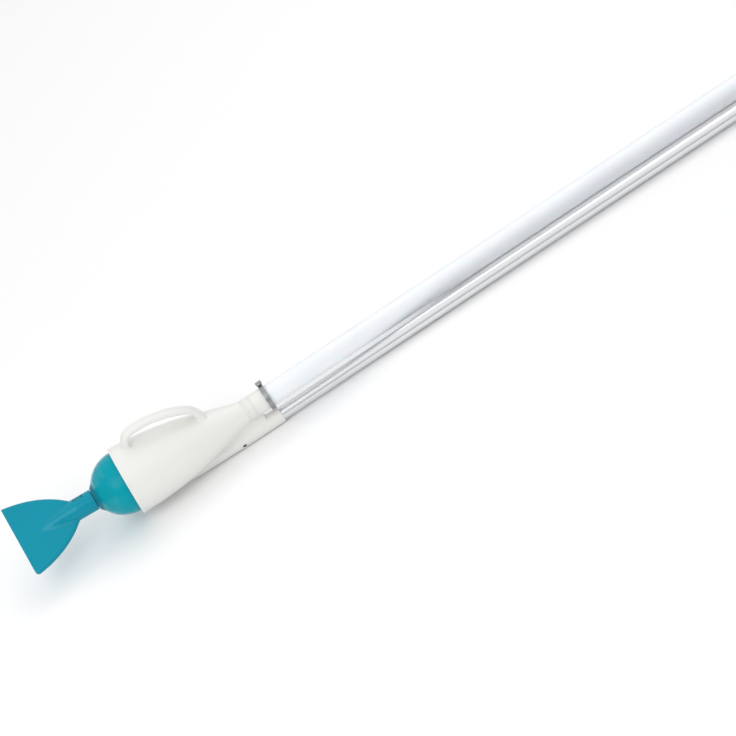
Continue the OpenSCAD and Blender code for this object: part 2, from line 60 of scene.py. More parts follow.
MM = 0.001
RIM_X = 698.234          # from the middle of the row back to the rim's centre
RIM_Z = 82.718
TILT = math.radians(4)
NOZZLE_TURN = math.radians(35)
LATCH_TURN = math.radians(40)    # of the latch, from the fan's face
POLE_Z = 15.7
POLE_BORE_R = 12.56      # of the socket, around the pole
SOCKET_LEN = 54          # of the socket, past the tail
BUTTON_X = 35            # of the snap button, ahead of the tail
SPIGOT_Z = 65.0
TAIL_X = 253.381
WEB_TOP = 45.5           # where the web's sides end under the cuff
CUFF_R = 21.75
ROW, SIDE, UP = Vector((1, 0, 0)), Vector((0, 1, 0)), Vector((0, 0, 1))


def rim_point(x, y, z):
    """A point measured in millimetres from below the rim's centre, in the row frame."""
    return Vector(((x - RIM_X) * MM, y * MM, z * MM))


def head_point(up, side, ahead):
    """A point measured along the tilted head: above its axis, to its side, ahead of the rim."""
    return Vector((
        (up * math.sin(TILT) - ahead * math.cos(TILT) - RIM_X) * MM,
        side * MM,
        (up * math.cos(TILT) + ahead * math.sin(TILT) + RIM_Z) * MM))


def nozzle_point(up, side, ahead, back=0.0):
    """The same for the nozzle, which is turned about the head's axis."""
    c, s = math.cos(NOZZLE_TURN - back), math.sin(NOZZLE_TURN - back)
    return head_point(up * c + side * s, side * c - up * s, ahead)


HEAD_AXIS = head_point(0, 0, 1) - head_point(0, 0, 0)
HEAD_AXIS.normalize()


# ---- Settings ---------------------------------------------------------------------------

class VacuumSizes(bpy.types.PropertyGroup):
    rim_radius: FloatProperty(
        name="Rim radius", description="Outside radius of the body at its front rim, in mm",
        default=67.5, min=60, max=81)
    body_length: FloatProperty(
        name="Body length", description="From the rim to the tail, in mm",
        default=254, min=211, max=305)
    tail_radius: FloatProperty(
        name="Tail radius", description="Outside radius of the body at its tail, in mm",
        default=21.65, min=20, max=24)
    wall: FloatProperty(
        name="Wall", description="Wall of the body, in mm", default=2.5, min=2, max=3.2)
    handle_width: FloatProperty(
        name="Handle width", description="Width of the carrying handle, in mm",
        default=23.5, min=19.5, max=28)
    handle_thickness: FloatProperty(
        name="Handle thickness", description="Thickness of the carrying handle, in mm",
        default=11, min=9, max=13)
    fan_length: FloatProperty(
        name="Fan length", description="From the nozzle's shoulder to its mouth, in mm",
        default=118.5, min=99, max=142)
    mouth_half: FloatProperty(
        name="Half mouth", description="Half of the mouth's width, in mm",
        default=74, min=62, max=89)
    fan_thickness: FloatProperty(
        name="Fan thickness", description="Outside thickness of the fan, in mm",
        default=12.5, min=11, max=15)
    fillet: FloatProperty(
        name="Blend grid", description="Grid on which the body's pieces are blended, in mm",
        default=1.45, min=1, max=4)
    smoothing: IntProperty(
        name="Smoothing", description="Rounds that soften the body's blends",
        default=32, min=0, max=60)


class HoseSizes(bpy.types.PropertyGroup):
    diameter: FloatProperty(
        name="Diameter", description="Outside diameter of the hose",
        default=0.042, unit="LENGTH")
    length: FloatProperty(
        name="Length", description="Real length of the hose",
        default=5.05, unit="LENGTH")


def colour(name, description, default):
    return FloatVectorProperty(
        name=name, description=description, default=default, size=3, min=0, max=1,
        subtype="COLOR")


class VacuumColours(bpy.types.PropertyGroup):
    body: colour("Body", "Warm white moulded plastic", (0.80, 0.795, 0.765))
    teal: colour("Nozzle", "Glossy teal plastic of the nozzle", (0.0, 0.270, 0.375))
    clear: colour("Dome", "Tinted clear plastic of the dome", (0.0, 0.42, 0.52))
    hub: colour("Hub", "Darker teal of the dome's hub", (0.0, 0.17, 0.24))
    cyan: colour("Basket", "Pale cyan plastic of the basket", (0.04, 0.62, 0.70))
    steel: colour("Steel", "Stainless steel of the clamp", (0.40, 0.41, 0.42))
    aluminium: colour("Aluminium", "Drawn tube of the pole", (0.80, 0.81, 0.82))
    hose: colour("Hose", "Milky hose wall", (0.88, 0.91, 0.95))
    floor: colour("Floor", "Pale floor", (0.93, 0.93, 0.93))


class StageSettings(bpy.types.PropertyGroup):
    lens: FloatProperty(
        name="Lens", description="Focal length of the camera, in mm", default=210, min=20)
    width: FloatProperty(
        name="View width", description="Width of the view at the object",
        default=1.3616, unit="LENGTH")
    elevation: FloatProperty(
        name="Elevation", description="How far above the floor the camera looks from",
        default=math.radians(35), subtype="ANGLE")
    roll: FloatProperty(
        name="Roll", description="How far the camera is rolled",
        default=math.radians(33.5), subtype="ANGLE")


# ---- Modelling helpers ------------------------------------------------------------------

def begin():
    """Nothing selected and no mesh open."""
    active = bpy.context.view_layer.objects.active
    if active is not None and active.mode != "OBJECT":
        bpy.ops.object.mode_set(mode="OBJECT")
    bpy.ops.object.select_all(action="DESELECT")


def activate(obj):
    begin()
    bpy.context.view_layer.objects.active = obj
    obj.select_set(True)


def settle(obj, name, angle=35):
    """Gives the finished mesh its name, places it in its mesh and smooths its faces."""
    activate(obj)
    bpy.ops.object.transform_apply(location=True, rotation=True, scale=True)
    bpy.ops.object.shade_smooth_by_angle(angle=math.radians(angle))
    obj.name = name
    obj.data.name = name
    return obj


def tidy(obj, dist=1e-6):
    """Merges doubles and turns the faces outwards."""
    activate(obj)
    bpy.ops.object.mode_set(mode="EDIT")
    bpy.ops.mesh.select_all(action="SELECT")
    bpy.ops.mesh.remove_doubles(threshold=dist)
    bpy.ops.mesh.normals_make_consistent(inside=False)
    bpy.ops.object.mode_set(mode="OBJECT")


def turned(outline, centre, axis, across, steps=96):
    """A solid turned about an axis: outline holds (radius, place along the axis) in mm."""
    axis, across = axis.normalized(), across.normalized()
    points = [centre + (across * r + axis * a) * MM for r, a in outline]
    begin()
    bpy.ops.mesh.primitive_plane_add(size=MM, location=points[0])
    obj = bpy.context.object
    bpy.ops.object.mode_set(mode="EDIT")
    bpy.ops.mesh.select_all(action="SELECT")
    bpy.ops.mesh.merge(type="CENTER")
    for a, b in zip(points, points[1:]):
        bpy.ops.mesh.extrude_vertices_move(TRANSFORM_OT_translate={"value": b - a})
    bpy.ops.mesh.select_all(action="SELECT")
    bpy.ops.mesh.spin(steps=steps, angle=2 * math.pi, center=centre, axis=axis)
    bpy.ops.object.mode_set(mode="OBJECT")
    bpy.ops.object.transform_apply(location=True, rotation=True, scale=True)
    tidy(obj)
    return obj


def lofted(rings, closed_along=False):
    """A skin through rings of equal numbers of points, capped unless it closes on itself."""
    around, along = len(rings[0]), len(rings)
    begin()
    columns = along + (1 if closed_along else 0)
    bpy.ops.mesh.primitive_grid_add(
        x_subdivisions=around, y_subdivisions=columns - 1, size=MM, location=(0, 0, 0))
    obj = bpy.context.object
    flat = []
    for j in range(columns):
        ring = rings[j % along]
        for i in range(around + 1):
            flat.extend(ring[i % around])
    obj.data.vertices.foreach_set("co", flat)
    obj.data.update()
    tidy(obj)
    if not closed_along:
        bpy.ops.object.mode_set(mode="EDIT")
        bpy.ops.mesh.select_all(action="DESELECT")
        bpy.ops.mesh.select_mode(type="EDGE")
        bpy.ops.mesh.select_non_manifold()
        bpy.ops.mesh.edge_face_add()
        bpy.ops.mesh.select_mode(type="VERT")
        bpy.ops.object.mode_set(mode="OBJECT")
        tidy(obj)
    return obj


def box(low, high):
    """A block between two corners in rim millimetres, for cutting."""
    a, b = rim_point(*low), rim_point(*high)
    begin()
    bpy.ops.mesh.primitive_cube_add(size=1, location=(a + b) / 2)
    obj = bpy.context.object
    obj.scale = b - a
    bpy.ops.object.transform_apply(location=True, rotation=True, scale=True)
    return obj


def modify(obj, kind, **values):
    """Adds a modifier, sets its values and applies it."""
    activate(obj)
    m = obj.modifiers.new(kind.title(), kind)
    for key, value in values.items():
        setattr(m, key, value)
    bpy.ops.object.modifier_apply(modifier=m.name)


def cut(obj, tool):
    """Takes the tool's shape away from obj, and removes the tool."""
    modify(obj, "BOOLEAN", operation="DIFFERENCE", solver="EXACT", object=tool)
    mesh = tool.data
    bpy.data.objects.remove(tool)
    bpy.data.meshes.remove(mesh)


def joined(first, *others):
    activate(first)
    for o in others:
        o.select_set(True)
    bpy.ops.object.join()
    return first


def give_material(obj, slot):
    obj.data.materials.clear()
    obj.data.materials.append(MATERIALS[slot])


def finish_piece(obj, name, body, slot, *nodes, angle=35):
    """Names, smooths and dresses a piece, and says which body it rides and what it replaces."""
    settle(obj, name, angle)
    give_material(obj, slot)
    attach(obj, body)
    if nodes:
        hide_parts(*nodes)
    return obj


def bezier(p, n):
    """A cubic curve from its four control points, in n steps."""
    out = []
    for i in range(n + 1):
        t = i / n
        s = 1 - t
        out.append([s ** 3 * a + 3 * s * s * t * b + 3 * s * t * t * c + t ** 3 * d
                    for a, b, c, d in zip(*p)])
    return out


def through(points, n):
    """A smooth line through points, n steps between each two."""
    out = []
    last = len(points) - 1
    for i in range(last):
        a, b = points[max(i - 1, 0)], points[i]
        c, d = points[i + 1], points[min(i + 2, last)]
        for k in range(n):
            t = k / n
            out.append([0.5 * (2 * q + (r - p) * t + (2 * p - 5 * q + 4 * r - s) * t * t
                               + (3 * q - p - 3 * r + s) * t ** 3)
                        for p, q, r, s in zip(a, b, c, d)])
    out.append(list(points[-1]))
    return out


def ramp(t):
    """A smooth step from 0 to 1."""
    t = min(max(t, 0), 1)
    return t * t * (3 - 2 * t)


# ---- Materials --------------------------------------------------------------------------

def new_group(name, inputs, outputs):
    group = bpy.data.node_groups.new(name, "ShaderNodeTree")
    for socket, kind, value in inputs:
        s = group.interface.new_socket(socket, in_out="INPUT", socket_type=kind)
        s.default_value = value
    for socket, kind in outputs:
        group.interface.new_socket(socket, in_out="OUTPUT", socket_type=kind)
    return group, group.nodes.new("NodeGroupInput"), group.nodes.new("NodeGroupOutput")


def noise(nodes, links, coords, scale, detail=3.0, rough=0.5):
    n = nodes.new("ShaderNodeTexNoise")
    n.inputs["Detail"].default_value = detail
    n.inputs["Roughness"].default_value = rough
    if isinstance(scale, (int, float)):
        n.inputs["Scale"].default_value = scale
    else:
        links.new(scale, n.inputs["Scale"])
    links.new(coords, n.inputs["Vector"])
    return n.outputs["Fac"]


def between(nodes, links, fac, low, high, from_low=0.35, from_high=0.65):
    """A value spread from low to high; either may be a socket."""
    m = nodes.new("ShaderNodeMapRange")
    links.new(fac, m.inputs["Value"])
    m.inputs["From Min"].default_value = from_low
    m.inputs["From Max"].default_value = from_high
    for key, value in (("To Min", low), ("To Max", high)):
        if isinstance(value, (int, float)):
            m.inputs[key].default_value = value
        else:
            links.new(value, m.inputs[key])
    return m.outputs["Result"]


def mixed(nodes, links, fac, a, b):
    m = nodes.new("ShaderNodeMix")
    m.data_type = "RGBA"
    for key, value in (("Factor", fac), ("A", a), ("B", b)):
        sockets = [s for s in m.inputs if s.name == key and s.enabled]
        target = sockets[0]
        if isinstance(value, bpy.types.NodeSocket):
            links.new(value, target)
        else:
            target.default_value = value
    return [s for s in m.outputs if s.enabled][0]


def object_coords(nodes):
    return nodes.new("ShaderNodeTexCoord").outputs["Object"]


def make_moulding():
    """Moulded plastic: faint clouding of the colour, uneven gloss and a fine grain."""
    g, gin, gout = new_group(
        "Moulding",
        [("Base", "NodeSocketColor", (1, 1, 1, 1)), ("Shade", "NodeSocketColor", (0, 0, 0, 1)),
         ("Clouding", "NodeSocketFloat", 0.1), ("Size", "NodeSocketFloat", 18.0),
         ("Gloss low", "NodeSocketFloat", 0.2), ("Gloss high", "NodeSocketFloat", 0.3)],
        [("Color", "NodeSocketColor"), ("Roughness", "NodeSocketFloat"),
         ("Height", "NodeSocketFloat")])
    n, l = g.nodes, g.links
    at = object_coords(n)
    cloud = noise(n, l, at, gin.outputs["Size"], 4.0)
    amount = between(n, l, cloud, 0.0, gin.outputs["Clouding"])
    l.new(mixed(n, l, amount, gin.outputs["Base"], gin.outputs["Shade"]), gout.inputs["Color"])
    smear = noise(n, l, at, 42.0, 5.0, 0.6)
    l.new(between(n, l, smear, gin.outputs["Gloss low"], gin.outputs["Gloss high"]),
          gout.inputs["Roughness"])
    l.new(noise(n, l, at, 900.0, 2.0), gout.inputs["Height"])
    return g


def make_wear():
    """Painted light: convex edges made paler as a painted highlight, and hollows made darker as
    painted shade.
    """
    g, gin, gout = new_group(
        "Edge wear",
        [("Color", "NodeSocketColor", (1, 1, 1, 1)), ("Rubbed", "NodeSocketColor", (1, 1, 1, 1)),
         ("Grime", "NodeSocketColor", (0.3, 0.3, 0.3, 1)), ("Rub", "NodeSocketFloat", 0.3),
         ("Dirt", "NodeSocketFloat", 0.2)],
        [("Color", "NodeSocketColor"), ("Mask", "NodeSocketFloat")])
    n, l = g.nodes, g.links
    at = object_coords(n)
    edge = n.new("ShaderNodeNewGeometry").outputs["Pointiness"]
    patchy = noise(n, l, at, 70.0, 5.0, 0.65)

    def masked(low, high, strength):
        m = n.new("ShaderNodeMath")
        m.operation = "MULTIPLY"
        l.new(between(n, l, edge, 0.0, strength, low, high), m.inputs[0])
        l.new(between(n, l, patchy, 0.2, 1.0, 0.4, 0.6), m.inputs[1])
        return m.outputs[0]

    # Convex edges, found by pointiness, get a paler colour: a painted highlight.
    rub = masked(0.515, 0.58, gin.outputs["Rub"])
    # Concave hollows get a darker colour: painted shade.
    dirt = masked(0.485, 0.42, gin.outputs["Dirt"])
    first = mixed(n, l, rub, gin.outputs["Color"], gin.outputs["Rubbed"])
    l.new(mixed(n, l, dirt, first, gin.outputs["Grime"]), gout.inputs["Color"])
    l.new(rub, gout.inputs["Mask"])
    return g


def make_brushed():
    """Drawn or brushed metal: fine lines that run along the stretch, and a few scratches."""
    g, gin, gout = new_group(
        "Brushed metal",
        [("Base", "NodeSocketColor", (1, 1, 1, 1)), ("Dull", "NodeSocketColor", (0.5, 0.5, 0.5, 1)),
         ("Stretch", "NodeSocketVector", (1, 1, 1)), ("Gloss low", "NodeSocketFloat", 0.2),
         ("Gloss high", "NodeSocketFloat", 0.35)],
        [("Color", "NodeSocketColor"), ("Roughness", "NodeSocketFloat"),
         ("Height", "NodeSocketFloat")])
    n, l = g.nodes, g.links
    stretch = n.new("ShaderNodeVectorMath")
    stretch.operation = "MULTIPLY"
    l.new(object_coords(n), stretch.inputs[0])
    l.new(gin.outputs["Stretch"], stretch.inputs[1])
    lines = noise(n, l, stretch.outputs[0], 1.0, 3.0, 0.6)
    broad = noise(n, l, object_coords(n), 14.0, 3.0)
    both = n.new("ShaderNodeMath")
    both.operation = "MULTIPLY"
    l.new(lines, both.inputs[0])
    l.new(between(n, l, broad, 0.8, 1.25), both.inputs[1])
    l.new(mixed(n, l, between(n, l, both.outputs[0], 0.0, 0.5), gin.outputs["Base"],
                gin.outputs["Dull"]), gout.inputs["Color"])
    l.new(between(n, l, both.outputs[0], gin.outputs["Gloss low"], gin.outputs["Gloss high"]),
          gout.inputs["Roughness"])
    l.new(lines, gout.inputs["Height"])
    return g


def make_threads():
    """Two crossing sets of threads, open between them."""
    g, gin, gout = new_group(
        "Crossed threads", [("Pitch", "NodeSocketFloat", 900.0), ("Open", "NodeSocketFloat", 0.5)],
        [("Mask", "NodeSocketFloat"), ("Height", "NodeSocketFloat")])
    n, l = g.nodes, g.links
    at = object_coords(n)
    heights = []
    for direction in ("X", "DIAGONAL"):
        w = n.new("ShaderNodeTexWave")
        w.bands_direction = direction
        l.new(at, w.inputs["Vector"])
        l.new(gin.outputs["Pitch"], w.inputs["Scale"])
        heights.append(w.outputs["Fac"])
    top = n.new("ShaderNodeMath")
    top.operation = "MAXIMUM"
    l.new(heights[0], top.inputs[0])
    l.new(heights[1], top.inputs[1])
    l.new(top.outputs[0], gout.inputs["Height"])
    over = n.new("ShaderNodeMath")
    over.operation = "GREATER_THAN"
    l.new(top.outputs[0], over.inputs[0])
    l.new(gin.outputs["Open"], over.inputs[1])
    l.new(over.outputs[0], gout.inputs["Mask"])
    return g


GROUPS = {}


def place_group(nodes, key, **values):
    """Adds one of the node groups with its inputs set; _ stands for a space in their names."""
    node = nodes.new("ShaderNodeGroup")
    node.node_tree = GROUPS[key]
    for name, value in values.items():
        socket = node.inputs[name.replace("_", " ")]
        socket.default_value = (*value, 1) if socket.type == "RGBA" else value
    return node


def new_material(name):
    m = bpy.data.materials.new(name)
    m.use_nodes = True
    nodes, links = m.node_tree.nodes, m.node_tree.links
    return m, nodes, links, nodes["Principled BSDF"]


def bump(nodes, links, shader, height, distance):
    b = nodes.new("ShaderNodeBump")
    b.inputs["Strength"].default_value = 1.0
    b.inputs["Distance"].default_value = distance
    links.new(height, b.inputs["Height"])
    links.new(b.outputs["Normal"], shader.inputs["Normal"])


def shaded(c, k):
    """A colour made k times as bright."""
    return tuple(x * k for x in c)


def moulded(name, base, gloss=(0.2, 0.3), shade=0.8, clouding=0.1, size=18.0, grain=0.00002,
            rubbed=None, grime=None, rub=0.25, dirt=0.2, sockets=()):
    """A moulded plastic or rubber with its own gloss, clouding and grain, with painted highlights
    on its edges and painted shade in its hollows.
    """
    m, nodes, links, shader = new_material(name)
    body = place_group(nodes, "moulding", Base=base, Shade=shaded(base, shade),
                       Clouding=clouding, Size=size, Gloss_low=gloss[0], Gloss_high=gloss[1])
    # Paler edges and darker hollows: a painted highlight and painted shade, from lit and shaded
    # copies of the base unless given.
    wear = place_group(nodes, "wear", Rubbed=rubbed or shaded(base, 1.15),
                       Grime=grime or shaded(base, 0.55), Rub=rub, Dirt=dirt)
    links.new(body.outputs["Color"], wear.inputs["Color"])
    links.new(wear.outputs["Color"], shader.inputs["Base Color"])
    links.new(body.outputs["Roughness"], shader.inputs["Roughness"])
    bump(nodes, links, shader, body.outputs["Height"], grain)
    for key, value in dict(sockets).items():
        shader.inputs[key].default_value = value
    return m


def metal(name, base, stretch, gloss=(0.2, 0.35), depth=0.00002, dull=0.75):
    """A brushed metal; stretch is how many lines a metre has along each direction."""
    m, nodes, links, shader = new_material(name)
    brushed = place_group(nodes, "brushed", Base=base, Dull=shaded(base, dull), Stretch=stretch,
                          Gloss_low=gloss[0], Gloss_high=gloss[1])
    links.new(brushed.outputs["Color"], shader.inputs["Base Color"])
    links.new(brushed.outputs["Roughness"], shader.inputs["Roughness"])
    shader.inputs["Metallic"].default_value = 1.0
    bump(nodes, links, shader, brushed.outputs["Height"], depth)
    return m


MATERIALS = {}


def mesh_material():
    """Pale threads with clear openings between them."""
    m, nodes, links, shader = new_material("Filter mesh")
    threads = place_group(nodes, "threads", Pitch=260.0, Open=0.42)
    links.new(threads.outputs["Mask"], shader.inputs["Alpha"])
    shader.inputs["Roughness"].default_value = 0.6
    tint = mixed(nodes, links, threads.outputs["Height"], (0.45, 0.55, 0.56, 1),
                 (0.80, 0.84, 0.84, 1))
    links.new(tint, shader.inputs["Base Color"])
    bump(nodes, links, shader, threads.outputs["Height"], 0.0002)
    return m


def hose_material(base):
    """Milky soft plastic, a little blue, with faint clouding."""
    return moulded("Hose wall", base, gloss=(0.30, 0.42), shade=0.93, clouding=0.5, size=9.0,
                   grain=0.00003, rub=0.0, dirt=0.0,
                   sockets={"Subsurface Weight": 0.25, "Subsurface Scale": 0.01,
                            "Coat Weight": 0.15, "Coat Roughness": 0.2})


def dome_material(base):
    """Tinted clear plastic, milky enough to hide what is far behind it."""
    m, nodes, links, shader = new_material("Tinted dome")
    body = place_group(nodes, "moulding", Base=base, Shade=shaded(base, 0.9),
                       Clouding=0.25, Size=30.0, Gloss_low=0.06, Gloss_high=0.11)
    links.new(body.outputs["Color"], shader.inputs["Base Color"])
    links.new(body.outputs["Roughness"], shader.inputs["Roughness"])
    shader.inputs["Alpha"].default_value = 0.62
    shader.inputs["Specular IOR Level"].default_value = 0.14
    bump(nodes, links, shader, body.outputs["Height"], 0.000008)
    return m


def make_materials(c):
    GROUPS.update(moulding=make_moulding(), wear=make_wear(), brushed=make_brushed(),
                  threads=make_threads())
    # Most of these plastics get painted highlights on their edges and painted shade in their
    # hollows.
    MATERIALS.update(
        # The white body gets no painted edge highlight, and a faint painted shade in its hollows.
        white_body=moulded("Warm white plastic", tuple(c.body), gloss=(0.38, 0.43), shade=0.97,
                           clouding=0.1, size=10.0, grain=0.000004, rub=0.0, dirt=0.03,
                           grime=(0.5, 0.49, 0.45),
                           sockets={"Coat Weight": 0.12, "Coat Roughness": 0.3}),
        clear_teal=dome_material(tuple(c.clear)),
        # The nozzle's light blue edge colour is a painted highlight along its rounded edges.
        teal=moulded("Teal plastic", tuple(c.teal), gloss=(0.16, 0.26), shade=0.88,
                     clouding=0.4, size=12.0, rubbed=(0.08, 0.46, 0.58), rub=0.3,
                     sockets={"Coat Weight": 0.05, "Coat Roughness": 0.08,
                              "Specular IOR Level": 0.16}),
        dark_teal=moulded("Dark teal plastic", tuple(c.hub), gloss=(0.18, 0.28), shade=0.8,
                          rubbed=(0.05, 0.35, 0.42), sockets={"Specular IOR Level": 0.2}),
        pale_cyan=moulded("Pale cyan plastic", tuple(c.cyan), gloss=(0.35, 0.5)),
        mesh=mesh_material(),
        seal_rubber=moulded("Black rubber", (0.012, 0.012, 0.014), gloss=(0.5, 0.7),
                            grain=0.00005, rubbed=(0.05, 0.05, 0.05)),
        grey_rubber=moulded("Grey rubber", (0.11, 0.115, 0.12), gloss=(0.5, 0.7),
                            grain=0.00005),
        steel=metal("Stainless steel", tuple(c.steel), (900, 120, 120)),
        aluminium=metal("Drawn aluminium", tuple(c.aluminium), (1.5, 420, 420),
                        gloss=(0.2, 0.26), depth=0.0000006, dull=0.95),
        grey_plastic=moulded("Grey plastic", (0.035, 0.038, 0.043), gloss=(0.35, 0.5),
                             rubbed=(0.12, 0.12, 0.13), grain=0.00004),
        black_plastic=moulded("Black plastic", (0.010, 0.012, 0.013), gloss=(0.3, 0.45)),
        bearing_white=moulded("Bearing plastic", (0.75, 0.75, 0.72), gloss=(0.4, 0.5)),
        grip_foam=moulded("Grip foam", (0.018, 0.018, 0.020), gloss=(0.75, 0.9),
                          grain=0.00025, clouding=0.3, rubbed=(0.06, 0.06, 0.06)),
        hose_white=hose_material(tuple(c.hose)),
    )


# ---- Operators --------------------------------------------------------------------------

class BuildStage(bpy.types.Operator):
    """Lays the floor and sets the lights and the camera"""
    bl_idname = "vacuum.stage"
    bl_label = "Stage"

    floor_size = 30
    lamps = (((-1.6, -1.6, 1.9), 1.6, 18), ((0.9, 1.4, 2.4), 1.8, 12))    # place, size, power
    lit = Vector((-0.55, 0, 0.05))           # where the lamps are aimed
    seen = Vector((-0.211, -0.010, 0.001))   # where the camera is aimed

    def execute(self, context):
        s = context.scene.vacuum_stage
        begin()
        bpy.ops.mesh.primitive_plane_add(size=self.floor_size, location=(0, 0, 0))
        floor = settle(context.object, "floor")
        m, nodes, links, shader = new_material("Pale floor")
        c = context.scene.vacuum_colours.floor
        tint = mixed(nodes, links, noise(nodes, links, object_coords(nodes), 3.0),
                     (*shaded(c, 0.995), 1), (*c, 1))
        links.new(tint, shader.inputs["Base Color"])
        shader.inputs["Roughness"].default_value = 0.8
        shader.inputs["Specular IOR Level"].default_value = 0.14
        floor.data.materials.append(m)

        self.light_world(context.scene)
        for place, size, power in self.lamps:
            bpy.ops.object.light_add(type="AREA", location=place)
            lamp = context.object
            lamp.data.size = size
            lamp.data.energy = power
            aim = self.lit - Vector(place)
            lamp.rotation_euler = aim.to_track_quat("-Z", "Y").to_euler()

        level = Vector((0, math.sin(s.elevation), math.cos(s.elevation)))
        right = ROW * math.cos(s.roll) - level * math.sin(s.roll)
        up = ROW * math.sin(s.roll) + level * math.cos(s.roll)
        back = right.cross(up)
        bpy.ops.object.camera_add()
        cam = context.object
        cam.data.lens = s.lens
        distance = s.width * s.lens / cam.data.sensor_width
        turn = Matrix((right, up, back)).transposed().to_4x4()
        cam.matrix_world = Matrix.Translation(self.seen + back * distance) @ turn
        cam.data.clip_end = 100
        context.scene.camera = cam
        return {"FINISHED"}

    def light_world(self, scene):
        """A sky that is white overhead and greyer towards the horizon."""
        world = bpy.data.worlds.new("Studio")
        scene.world = world
        world.use_nodes = True
        nodes, links = world.node_tree.nodes, world.node_tree.links
        split = nodes.new("ShaderNodeSeparateXYZ")
        links.new(nodes.new("ShaderNodeTexCoord").outputs["Generated"], split.inputs[0])
        sky = nodes.new("ShaderNodeValToRGB")
        sky.color_ramp.elements[0].position = 0.0
        sky.color_ramp.elements[0].color = (0.42, 0.43, 0.45, 1)
        sky.color_ramp.elements[1].position = 0.75
        sky.color_ramp.elements[1].color = (1, 1, 1, 1)
        links.new(split.outputs["Z"], sky.inputs["Fac"])
        links.new(sky.outputs["Color"], nodes["Background"].inputs["Color"])
        nodes["Background"].inputs["Strength"].default_value = 0.98
        scene.view_settings.view_transform = "Standard"


# How far past RUN_X, and the share of the way down to the floor and over beside the pole.
FALL = ((0, 0), (40, 0), (80, 0.03), (130, 0.13), (180, 0.29), (230, 0.46), (280, 0.64),
        (330, 0.79), (380, 0.9), (430, 0.97), (490, 1), (560, 1), (680, 1), (800, 1),
        (920, 1), (1040, 1), (1160, 1), (1280, 1))
HOSE_R = 21
LAY_Y = 63               # of the hose, where it lies beside the pole
CUFF_END_X = 298.381
RUN_X = 331.381          # where the hose starts to fall
COIL_R = 210
COIL_X = 1731.381
COIL_Y = 294
TOP_Z = 57.673           # of the coil's upper turn
TOP_END = 175 + 720      # degrees at which the hose ends, two turns on
COIL_STEP = 15
GO_INWARD, GO_OUTWARD, GO_UP = (170, 100), (560, 80), (480, 100)    # from, and for how long
CROSS_UP, CROSS_DOWN, GO_HOME = (560, 32), (605, 30), (TOP_END - 30, 30)
CROSS_RISE = 5.3         # over the turn that the hose crosses
HOME_OUT, HOME_UP = 2.6, 3.4        # into the end cuff
END_CUFF_TURN = math.radians(186.79)
END_CUFF_HALF = 0.0295


def coil_point(turn):
    """A point of the coil's centreline at an angle, from where the hose comes in at -90."""
    wide, narrow = COIL_R + HOSE_R, COIL_R - HOSE_R
    inward, outward, rise, over, down, home = (
        ramp((turn - start) / span)
        for start, span in (GO_INWARD, GO_OUTWARD, GO_UP, CROSS_UP, CROSS_DOWN, GO_HOME))
    r = wide - (wide - narrow) * inward + (COIL_R - narrow) * outward + HOME_OUT * home
    z = HOSE_R + (TOP_Z - HOSE_R) * rise + CROSS_RISE * (over - down) + HOME_UP * home
    a = math.radians(turn)
    return rim_point(COIL_X + r * math.cos(a), COIL_Y + r * math.sin(a), z)


class BuildHose(bpy.types.Operator):
    """Lays the hose from the cuff to its coil, ending in its end cuff"""
    bl_idname = "vacuum.hose"
    bl_label = "Hose"

    def execute(self, context):
        h = context.scene.vacuum_hose
        route = [rim_point(CUFF_END_X + 0.4, 0, SPIGOT_Z), rim_point(CUFF_END_X + 16, 0, SPIGOT_Z)]
        for along, share in FALL:
            route.append(rim_point(RUN_X + along, LAY_Y * share,
                                   SPIGOT_Z - share * (SPIGOT_Z - HOSE_R)))
        route += [coil_point(t) for t in range(-90, TOP_END, COIL_STEP)]
        route.append(coil_point(TOP_END - 4))
        low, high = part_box("hose_end_cuff")
        middle = (low + high) / 2
        along = Vector((-math.sin(END_CUFF_TURN), math.cos(END_CUFF_TURN), 0))
        route.append(middle - along * END_CUFF_HALF)

        curve = bpy.data.curves.new("hose", "CURVE")
        curve.dimensions = "3D"
        curve.bevel_depth = h.diameter / 2
        curve.bevel_resolution = 8
        curve.resolution_u = 6
        curve.use_fill_caps = True
        spline = curve.splines.new("BEZIER")
        spline.bezier_points.add(len(route) - 1)
        for p, at in zip(spline.bezier_points, route):
            p.co = at
            p.handle_left_type = p.handle_right_type = "AUTO"
        hose = bpy.data.objects.new("hose", curve)
        context.collection.objects.link(hose)
        curve.materials.append(MATERIALS["hose_white"])
        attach(hose, "head")
        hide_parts("hose_sleeve", "hose_run", "hose_coil", "hose_top_turn")
        return {"FINISHED"}


# Share of the body's length from the rim, and height over its skin in millimetres.
HANDLE_LINE = ((0.122, -7), (0.148, 16.5), (0.2, 26.7), (0.294, 30.3), (0.371, 31.8),
               (0.469, 30.8), (0.526, 29.6), (0.632, 23.3), (0.68, 14.5), (0.717, -2))


def skin_line(s):
    """The body's outline from the rim to the tail: radius, and place along the axis."""
    return bezier(((s.rim_radius, 0), (s.rim_radius - 1.5, -0.49 * s.body_length),
                   (s.tail_radius + 17.5, -0.69 * s.body_length),
                   (s.tail_radius, -s.body_length)), 40)


def skin_radius(s, back):
    """The outline's radius at a distance behind the rim."""
    line = skin_line(s)
    for (r0, a0), (r1, a1) in zip(line, line[1:]):
        if a1 <= -back <= a0:
            return r0 + (r1 - r0) * (a0 + back) / (a0 - a1)
    return s.tail_radius


HEAD_UP = (head_point(1, 0, 0) - head_point(0, 0, 0)).normalized()


